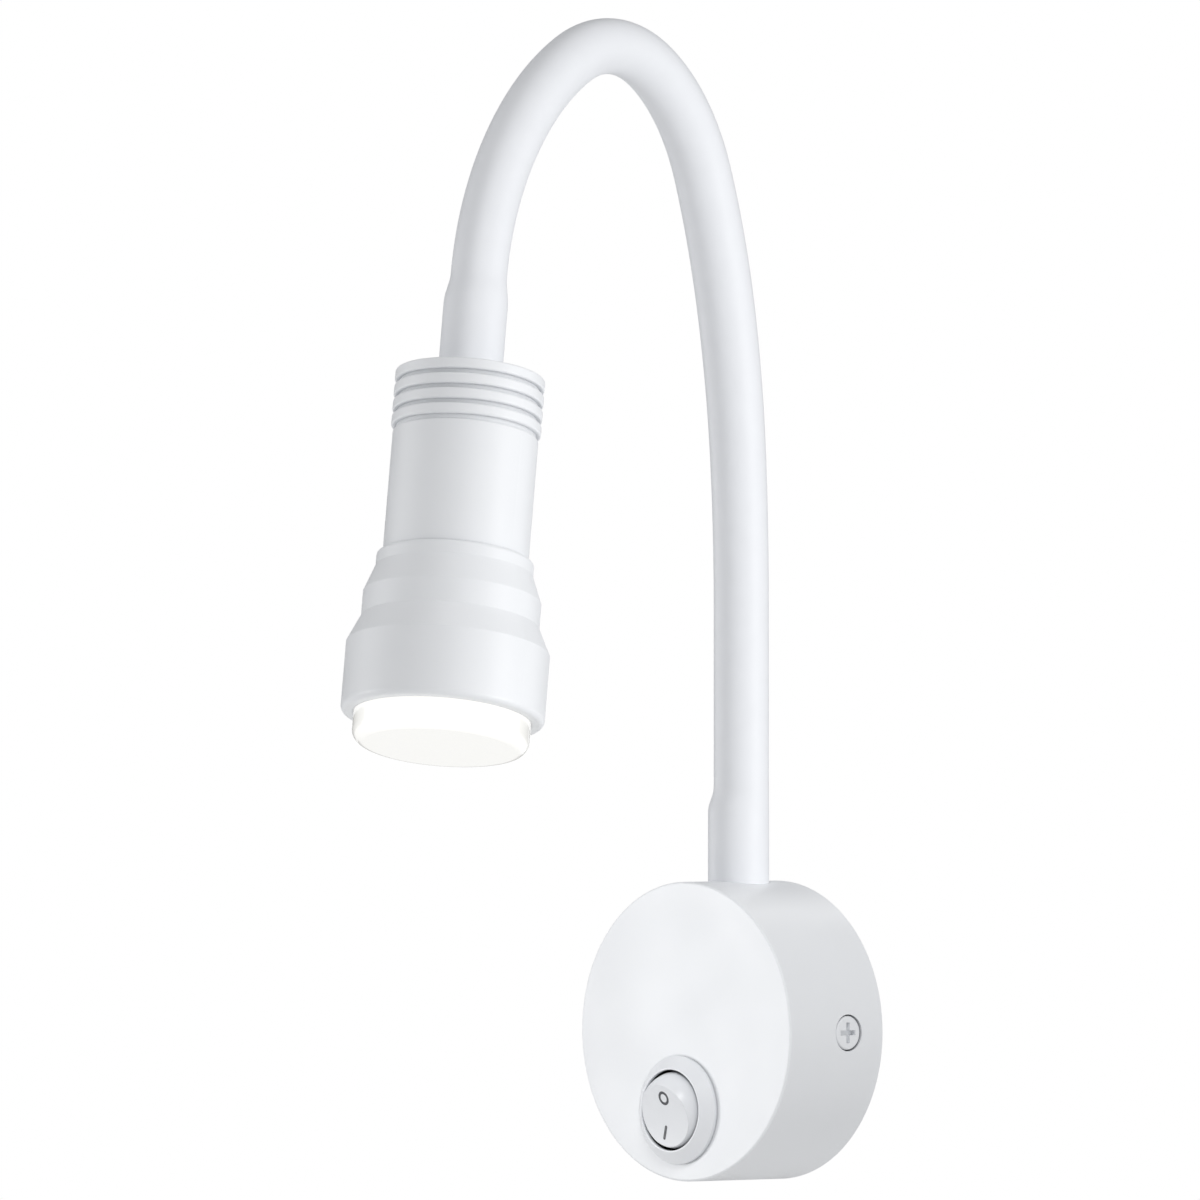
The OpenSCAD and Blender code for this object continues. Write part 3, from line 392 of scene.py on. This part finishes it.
# %% Finishes on the solids
LINKS = 8
finish_of = {
    powder_coat: ["casing", "head_body", "head_bezel"],
    coated_steel: ["side_screws"],
    switch_nylon: ["rocker"],
    housing_nylon: ["switch_housing"],
    sleeve_silicone: ["base_sleeve", "head_sleeve"] + [f"sleeve_{i}" for i in range(1, LINKS + 1)],
    lens_acrylic: ["lens"],
    led_phosphor: ["led_chip"],
    zinc_plate: ["wall_plate", "rocker_spring", "base_nipple", "base_nut", "head_nipple", "head_nut",
                 "led_screws"],
    hose_strip: ["base_hose", "head_hose"] + [f"hose_{i}" for i in range(1, LINKS + 1)],
    turned_aluminium: ["heat_spreader"],
    brass: ["terminal_screws", "earth_screw", "switch_terminals", "switch_contact"],
    block_nylon: ["terminal_block", "board_spacers", "rocker_plunger"],
    board_green: ["driver_board"],
    board_white: ["led_board"],
    winding_tape: ["transformer"],
    can_sleeve: ["capacitors"],
    wire_skin: ["base_wires", "head_wires"] + [f"leads_{i}" for i in range(1, LINKS + 1)],
    reflector_white: ["reflector"],
    bush_rubber: ["cable_bush"],
    seal_rubber: ["lens_seal"],
}
for material, names in finish_of.items():
    for name in names:
        nodes[name].data.materials.clear()
        nodes[name].data.materials.append(material)
undressed = sorted(set(nodes) - {name for names in finish_of.values() for name in names})
print("dressed:", len(nodes) - len(undressed), "left:", undressed)

# %% [markdown]
# ## The line of the neck
#
# The neck runs straight up from the base, bends in eight links of 32 mm and ends straight in the head. Each
# link is an arc, so a point on the line is found by walking along the links and turning by each bend. The
# walk gives a frame at every point: its third column points along the neck.

# %% Neck line
SEAT_Z = 31.7814
FOOT_Z = 59.8814
NECK_OUT = 11
LINK = 32
BENDS = (0, 4.5, 8, 10.9, 39.4, 51.2, 27.3, 24.6)
NECK_TURN = 13.7
LAST_LINK_TURN = 8.9
HEAD_STRAIGHT = 21.5
FIRST = SEAT_Z - FOOT_Z
LAST = LINK * LINKS + HEAD_STRAIGHT


def along_bend(bend, length):
    """The step along one link, as far as that length."""
    if bend == 0:
        return Matrix.Translation((0, 0, length))
    radius = LINK / math.radians(bend)
    turn = math.radians(bend) * length / LINK
    step = Matrix.Translation((0, -radius * (1 - math.cos(turn)), radius * math.sin(turn)))
    return step @ Matrix.Rotation(turn, 4, "X")


def neck_frame(s):
    """The neck's frame at s millimetres from the first link's foot."""
    at = Matrix.Translation((0, -NECK_OUT, FOOT_Z)) @ Matrix.Rotation(math.radians(NECK_TURN), 4, "Z")
    if s <= 0:
        return at @ Matrix.Translation((0, 0, s))
    for i, bend in enumerate(BENDS):
        if i == LINKS - 1:
            at = at @ Matrix.Rotation(math.radians(LAST_LINK_TURN), 4, "Z")
        if s <= LINK:
            return at @ along_bend(bend, s)
        at = at @ along_bend(bend, LINK)
        s -= LINK
    return at @ Matrix.Translation((0, 0, s))


head_at = [round(v, 1) for v in neck_frame(LAST).translation]
print("neck length:", round(LAST - FIRST, 1), "mm, head at", head_at)

# %% [markdown]
# ## The sleeve and its hose
#
# The real sleeve is one soft tube, and the hose in it is wound from steel strip, with a shallow step from
# turn to turn. A blended piece can follow only two bodies, so each tube is laid out once and then cut into
# nine pieces, one over each hinge. Neighbours share their last ring and its normals, so no seam shows at
# rest. Over the crimped fittings at both ends the sleeve swells, a little more on one side, and where the
# arch begins it is a little fuller. Its foot is cut to the round of the base.

# %% Sleeve profile
SIDES = 64
SLEEVE_R = 6.0
SLEEVE_BORE_R = 5.2
BASE_R = 32.5
BASE_SWELL = 0.65
BASE_SWELL_SHIFT = 0.6
BASE_SWELL_END = -7.0
BASE_SWELL_TAPER = 5.3
FULLER = 0.3
FULLER_AT = 110
FULLER_REACH = 75
HEAD_SWELL = 0.85
HEAD_SWELL_SHIFT = 0.15
HEAD_SWELL_START = 255.3
HEAD_SWELL_TAPER = 6.4
FOOT_HEIGHT = 1


def ease(x):
    """A smooth step from 0 to 1."""
    x = min(max(x, 0), 1)
    return x * x * (3 - 2 * x)


def swell(s):
    """How much wider the sleeve is at s, and how far it leans to the left of the picture."""
    low = 1 - ease((s - BASE_SWELL_END + BASE_SWELL_TAPER) / BASE_SWELL_TAPER)
    high = ease((s - HEAD_SWELL_START) / HEAD_SWELL_TAPER)
    fuller = ease(1 - abs(s - FULLER_AT) / FULLER_REACH)
    wider = BASE_SWELL * low + FULLER * fuller + HEAD_SWELL * high
    return wider, BASE_SWELL_SHIFT * low + HEAD_SWELL_SHIFT * high


def sleeve_ring(s, radius, left):
    """A ring of points round the neck at s."""
    at = neck_frame(s)
    middle = at.translation - RIGHT * left
    along = at.col[2].to_3d()
    side = RIGHT - along * RIGHT.dot(along)
    side.normalize()
    lift = along.cross(side)
    turns = [2 * math.pi * j / SIDES for j in range(SIDES)]
    points = [middle + (side * math.cos(t) + lift * math.sin(t)) * radius for t in turns]
    if s < FIRST + FOOT_HEIGHT:
        for point in points:
            point.z = max(point.z, math.sqrt(BASE_R ** 2 - point.x ** 2))
    return [point * MM for point in points]


print("sleeve wider at its foot and head by", swell(FIRST)[0], "and", swell(LAST)[0], "mm")

# %% [markdown]
# A ring stands at every millimetre of the neck and at each cut. The hose's rings are wider and narrower by
# turns, which gives the steps of its strip.

# %% Rings
HOSE_R = 4.5
HOSE_BORE_R = 2.8
HOSE_INSET = 2
STRIP_STEP = 0.2
CUT_AFTER = 8.5
DIGITS = 4


def stations_of(cuts):
    """Stations a millimetre apart along the neck, and one at each cut."""
    whole = range(math.ceil(cuts[0]), math.floor(cuts[-1]) + 1)
    return sorted({round(s, DIGITS) for s in cuts} | {float(s) for s in whole})


middle_cuts = [CUT_AFTER + LINK * k for k in range(LINKS)]
cuts = [FIRST] + middle_cuts + [LAST]
stations = stations_of(cuts)
outer = []
inner = []
for s in stations:
    wider, left = swell(s)
    outer.append(sleeve_ring(s, SLEEVE_R + wider, left))
    inner.append(sleeve_ring(s, SLEEVE_BORE_R, 0))
hose_cuts = [FIRST + HOSE_INSET] + middle_cuts + [LAST - HOSE_INSET]
hose_stations = stations_of(hose_cuts)
hose_outer = [sleeve_ring(s, HOSE_R - STRIP_STEP * (i % 2), 0) for i, s in enumerate(hose_stations)]
hose_inner = [sleeve_ring(s, HOSE_BORE_R, 0) for s in hose_stations]
print("rings:", len(outer), "and", len(hose_outer), "of", SIDES)

# %% [markdown]
# A vertex normal is square to the ring and to the line along the tube. Taking both directions from the
# neighbours on either side gives the same smooth normals that the uncut tube would have.

# %% Tube pieces
def tube_normal(rings, i, j, way):
    """The outward normal at one point of the tube, or the inward one where way is -1."""
    before = rings[max(i - 1, 0)][j]
    after = rings[min(i + 1, len(rings) - 1)][j]
    round_about = rings[i][(j + 1) % SIDES] - rings[i][j - 1]
    return round_about.cross(after - before).normalized() * way


def tube_piece(name, marks, outside, bore, start, end, material):
    """A closed stretch of a tube between two of its stations."""
    rows = range(marks.index(round(start, DIGITS)), marks.index(round(end, DIGITS)) + 1)
    points = []
    point_normals = []
    for rings, way in ((outside, 1), (bore, -1)):
        for i in rows:
            points += rings[i]
            point_normals += [tube_normal(rings, i, j, way) for j in range(SIDES)]
    count = len(rows)
    faces = []
    normals = []
    for wall in (0, 1):
        for i in range(count - 1):
            for j in range(SIDES):
                a = (wall * count + i) * SIDES
                quad = [a + j, a + (j + 1) % SIDES, a + SIDES + (j + 1) % SIDES, a + SIDES + j]
                faces.append(quad[::-1] if wall else quad)
                normals += [point_normals[v] for v in faces[-1]]
    for end_row, way in ((0, -1), (count - 1, 1)):
        along = neck_frame(marks[rows[end_row]]).col[2].to_3d() * way
        for j in range(SIDES):
            a = end_row * SIDES
            b = (count + end_row) * SIDES
            quad = [a + j, a + (j + 1) % SIDES, b + (j + 1) % SIDES, b + j]
            faces.append(quad[::-1] if way < 0 else quad)
            normals += [along] * 4
    mesh = bpy.data.meshes.new(name)
    mesh.from_pydata(points, [], faces)
    mesh.shade_smooth()
    mesh.normals_split_custom_set([tuple(n) for n in normals])
    mesh.materials.append(material)
    piece = bpy.data.objects.new(name, mesh)
    scene.collection.objects.link(piece)
    return piece


print("first normal:", [round(v, 2) for v in tube_normal(outer, 0, 0, 1)])

# %% [markdown]
# For each piece, points 14 mm before and after its hinge are found, kept just short of its ends, and the
# solids it covers are hidden.

# %% Neck pieces
HINGE_BACK = 7.5
BLEND_REACH = 14
END_MARGIN = 0.5
neck_tubes = []
for k in range(LINKS + 1):
    skin = tube_piece(f"sleeve_skin_{k}", stations, outer, inner, cuts[k], cuts[k + 1], sleeve_silicone)
    core = tube_piece(
        f"hose_core_{k}", hose_stations, hose_outer, hose_inner, hose_cuts[k], hose_cuts[k + 1], hose_strip)
    hinge = LINK * k - HINGE_BACK
    first = max(hinge - BLEND_REACH, cuts[k] + END_MARGIN)
    last = min(hinge + BLEND_REACH, cuts[k + 1] - END_MARGIN)
    start = neck_frame(first).translation * MM
    end = neck_frame(last).translation * MM
    for piece, kind in ((skin, "sleeve"), (core, "hose")):
        covers = [f"base_{kind}"] if k == 0 else [f"{kind}_{k}"]
        covers += [f"head_{kind}"] if k == LINKS else []
        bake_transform(piece)
        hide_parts(*covers)
        neck_tubes.append(piece)
print("sleeve and hose pieces:", len(neck_tubes))

# %% [markdown]
# ## Marks on the button
#
# The rocker carries the two usual marks, a ring for off and a bar for on. They are printed, but a thin
# raised piece with rounded ends catches the light better than paint. The button's face is a shallow trough,
# so each mark is laid out flat, lifted onto the trough and then carried into place with the tilted button.

# %% Mark shapes
SWITCH_TURN = math.radians(12)
ROCKER_TILT = math.radians(15)
ROCKER_R = 8.5
ROCKER_FACE = 4.9
DISH_DEPTH = 0.6
DISH_MARGIN = 0.3
DISH_HALF = math.sqrt(ROCKER_R ** 2 - ROCKER_FACE ** 2) + DISH_MARGIN
DISH_R = (DISH_HALF ** 2 + DISH_DEPTH ** 2) / (2 * DISH_DEPTH)
MARK_SINK = 0.03
MARK_HEIGHT = 0.03
MARK_POINTS = 48


def on_button(x, v, lift):
    """A place on the button's face, in metres: across, up and over the face."""
    face = ROCKER_FACE - DISH_DEPTH + DISH_R - math.sqrt(DISH_R ** 2 - v ** 2) + lift
    up = v * math.cos(ROCKER_TILT) - face * math.sin(ROCKER_TILT)
    out = v * math.sin(ROCKER_TILT) + face * math.cos(ROCKER_TILT)
    across = x * math.cos(SWITCH_TURN) + up * math.sin(SWITCH_TURN)
    up = up * math.cos(SWITCH_TURN) - x * math.sin(SWITCH_TURN)
    return Vector((SWITCH_X + across, -(SWITCH_OUT + out), SWITCH_UP + up)) * MM


def printed_mark(name, inner_line, outer_line):
    """A thin closed piece between two loops of flat points that have the same count."""
    count = len(outer_line)
    points = []
    for line, lift in ((inner_line, -MARK_SINK), (outer_line, -MARK_SINK), (outer_line, MARK_HEIGHT),
                       (inner_line, MARK_HEIGHT)):
        points += [on_button(x, v, lift) for x, v in line]
    faces = []
    for row in range(4):
        a = row * count
        b = (row + 1) % 4 * count
        faces += [(a + j, a + (j + 1) % count, b + (j + 1) % count, b + j) for j in range(count)]
    mesh = bpy.data.meshes.new(name)
    mesh.from_pydata(points, [], faces)
    mesh.materials.append(mark_ink)
    piece = bpy.data.objects.new(name, mesh)
    scene.collection.objects.link(piece)
    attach(piece, "rocker")
    return piece


def loop(centre_v, half_width, half_height, lean=0):
    """A rounded loop of flat points, or a circle where both halves are the same. A long one can lean."""
    straight = half_height - half_width
    lean = math.radians(lean)
    points = []
    for j in range(MARK_POINTS):
        turn = 2 * math.pi * j / MARK_POINTS
        lift = straight if math.sin(turn) >= 0 else -straight
        across = half_width * math.cos(turn) + lift * math.sin(lean)
        points.append((across, centre_v + lift * math.cos(lean) + half_width * math.sin(turn)))
    return points


OFF_MARK_UP = 4.0
OFF_MARK_BORE = 0.98
OFF_MARK_R = 1.58
ON_MARK_UP = -3.95
ON_MARK_LEAN = 10
ON_MARK_CORE = (0.05, 1.3)
ON_MARK_HALF = (0.34, 1.66)
off_hole = loop(OFF_MARK_UP, OFF_MARK_BORE, OFF_MARK_BORE)
off_mark = printed_mark("off_mark", off_hole, loop(OFF_MARK_UP, OFF_MARK_R, OFF_MARK_R))
on_core = loop(ON_MARK_UP, *ON_MARK_CORE, ON_MARK_LEAN)
on_mark = printed_mark("on_mark", on_core, loop(ON_MARK_UP, *ON_MARK_HALF, ON_MARK_LEAN))
print("marks:", off_mark.name, on_mark.name)

# %% [markdown]
# ## Light
#
# The light has to show white on white. A soft even world fills everything. Base, neck and head each get a
# few soft boxes of their own, as flags in a studio would part them: one from the left, one from the right
# and one from above the camera. Between left and right stays the grey band that makes the neck and the head
# look round. A box straight over the base and one over the head lift their upper sides, and one from behind
# lifts the base's far edge. Light linking gives each lamp its receivers.

# %% Groups
base_pieces = bpy.data.collections.new("lit_as_base")
neck_pieces = bpy.data.collections.new("lit_as_neck")
head_pieces = bpy.data.collections.new("lit_as_head")
for name, piece in nodes.items():
    body = piece["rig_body"]
    group = base_pieces if body in ("base", "rocker", "contact") else neck_pieces
    group = head_pieces if body == "head" else group
    group.objects.link(piece)
for piece in neck_tubes:
    neck_pieces.objects.link(piece)
for piece in (off_mark, on_mark):
    base_pieces.objects.link(piece)

# %% Soft boxes
LIT_MIDDLE = Vector((0, -0.04, 0.08))
BOX_DISTANCE = 1.5
BOX_SIZE = 0.5


def soft_box(name, turn, rise, power, receivers):
    """A square soft box, turned to the right of the camera and raised, in degrees."""
    turn = math.radians(turn)
    rise = math.radians(rise)
    level = BACK * math.cos(turn) + RIGHT * math.sin(turn)
    data = bpy.data.lights.new(name, "AREA")
    data.shape = "SQUARE"
    data.size = BOX_SIZE
    data.energy = power
    lamp = bpy.data.objects.new(name, data)
    lamp.location = LIT_MIDDLE + (level * math.cos(rise) + UP * math.sin(rise)) * BOX_DISTANCE
    lamp.rotation_euler = (LIT_MIDDLE - lamp.location).to_track_quat("-Z", "Y").to_euler()
    lamp.visible_camera = False
    scene.collection.objects.link(lamp)
    lamp.light_linking.receiver_collection = receivers


soft_box("base_left", -90, 0, 6.2, base_pieces)
soft_box("base_right", 60, 0, 2.1, base_pieces)
soft_box("base_top", 0, 40, 7.6, base_pieces)
soft_box("base_behind", 150, 40, 2.2, base_pieces)
soft_box("base_over", 0, 85, 1.6, base_pieces)
soft_box("neck_left", -120, 0, 3.8, neck_pieces)
soft_box("neck_right", 60, 0, 9.7, neck_pieces)
soft_box("neck_top", 0, 40, 4.4, neck_pieces)
soft_box("head_left", -90, 0, 5.2, head_pieces)
soft_box("head_right", 60, 0, 11.1, head_pieces)
soft_box("head_top", 30, 40, 2.1, head_pieces)
soft_box("head_over", 0, 85, 2.4, head_pieces)
print("soft boxes:", len(bpy.data.lights))

# %% World
AMBIENT = 0.4


def shown_rays(tree):
    """1 for the rays that show the background: from the camera, off a shine or through something clear."""
    path = add_node(tree, "ShaderNodeLightPath")
    seen = add_node(tree, "ShaderNodeMath", {
        0: path.outputs["Is Camera Ray"], 1: path.outputs["Is Glossy Ray"]}, operation="MAXIMUM")
    shown = add_node(tree, "ShaderNodeMath", {
        0: seen.outputs["Value"], 1: path.outputs["Is Transmission Ray"]}, operation="MAXIMUM")
    return shown.outputs["Value"]


world = bpy.data.worlds.new("white_studio")
world.use_nodes = True
scene.world = world
tree = world.node_tree
tree.nodes.clear()
fill = add_node(tree, "ShaderNodeBackground", {"Color": (1, 1, 1, 1), "Strength": AMBIENT})
white = add_node(tree, "ShaderNodeBackground", {"Color": (1, 1, 1, 1), "Strength": 1.0})
choice = add_node(tree, "ShaderNodeMixShader", {
    0: shown_rays(tree), 1: fill.outputs["Background"], 2: white.outputs["Background"]})
add_node(tree, "ShaderNodeOutputWorld", {"Surface": choice.outputs["Shader"]})
print("world:", world.name)

# %% [markdown]
# ## Black flags
#
# White on white loses its outline. A photographer stands black cards just outside the picture, behind the
# object: at a grazing angle the surface mirrors them, which draws a thin grey line along each edge. Here
# one card with a window does it, and its cloth runs on over the floor. It is only there for mirrored light,
# so it casts no shade.

# %% Flags
FLAG_BACK = 0.9
WINDOW = 0.2
FLAG_REACH = 1.6
CLOTH_BACK = 0.5
CLOTH_DROP = 0.28
middle = AIM - BACK * FLAG_BACK
corners = [(-1, -1), (-1, 1), (1, 1), (1, -1)]
points = [middle + (RIGHT * x + UP * y) * r for r in (WINDOW, FLAG_REACH) for x, y in corners]
points += [AIM - BACK * CLOTH_BACK - UP * CLOTH_DROP + RIGHT * x * WINDOW for x in (-1, 1)]
flag_mesh = bpy.data.meshes.new("black_flag")
flag_mesh.from_pydata(points, [], [(0, 1, 5, 4), (1, 2, 6, 5), (2, 3, 7, 6), (0, 3, 9, 8)])
black_flag = bpy.data.objects.new("black_flag", flag_mesh)
scene.collection.objects.link(black_flag)
black_cloth, tree = start_material("black_cloth")
matte = add_node(tree, "ShaderNodeBsdfDiffuse", {"Color": linear("202020")})
add_node(tree, "ShaderNodeOutputMaterial", {"Surface": matte.outputs["BSDF"]})
flag_mesh.materials.append(black_cloth)
black_flag.visible_camera = False
black_flag.visible_diffuse = False
black_flag.visible_transmission = False
black_flag.visible_shadow = False
print("flag behind the light:", black_flag.name)

# %% [markdown]
# ## Floor
#
# A pale floor lies well below the light, so that its shadow stays soft. It takes the base's lamps and
# throws their light back up. Towards its edge it turns into the white of the background, so no edge shows
# in the views from above or in a shine.

# %% Floor
FLOOR_Z = -0.2
FLOOR_R = 2.5
RIM_STEP = 5
FADE_START = 0.5
FADE_END = 0.8
floor_mesh = bpy.data.meshes.new("floor")
turns = [math.radians(a) for a in range(0, 360, RIM_STEP)]
rim = [(FLOOR_R * math.cos(t), FLOOR_R * math.sin(t), FLOOR_Z) for t in turns]
floor_mesh.from_pydata(rim, [], [tuple(range(len(rim)))])
floor = bpy.data.objects.new("floor", floor_mesh)
scene.collection.objects.link(floor)
pale_floor, tree = start_material("pale_floor")
place = add_node(tree, "ShaderNodeTexCoord")
flat = add_node(tree, "ShaderNodeVectorMath", {
    0: place.outputs["Object"], 1: (1, 1, 0)}, operation="MULTIPLY")
reach = add_node(tree, "ShaderNodeVectorMath", {0: flat.outputs["Vector"]}, operation="LENGTH")
fade = add_node(tree, "ShaderNodeMapRange", {
    "Value": reach.outputs["Value"], "From Min": FADE_START,
    "From Max": FLOOR_R * FADE_END}, interpolation_type="SMOOTHSTEP")
to_white = add_node(tree, "ShaderNodeMath", {
    0: fade.outputs["Result"], 1: shown_rays(tree)}, operation="MULTIPLY")
matte = add_node(tree, "ShaderNodeBsdfDiffuse", {"Color": linear("F4F4F4")})
white = add_node(tree, "ShaderNodeEmission", {"Color": (1, 1, 1, 1), "Strength": 1.0})
choice = add_node(tree, "ShaderNodeMixShader", {
    0: to_white.outputs["Value"], 1: matte.outputs["BSDF"], 2: white.outputs["Emission"]})
add_node(tree, "ShaderNodeOutputMaterial", {"Surface": choice.outputs["Shader"]})
floor_mesh.materials.append(pale_floor)
base_pieces.objects.link(floor)
print("floor at", FLOOR_Z, "m")

# %% [markdown]
# ## Finish
#
# The picture is shown without a film look, so that a colour comes out as it is written.

# %% Finish
scene.view_settings.view_transform = "Standard"
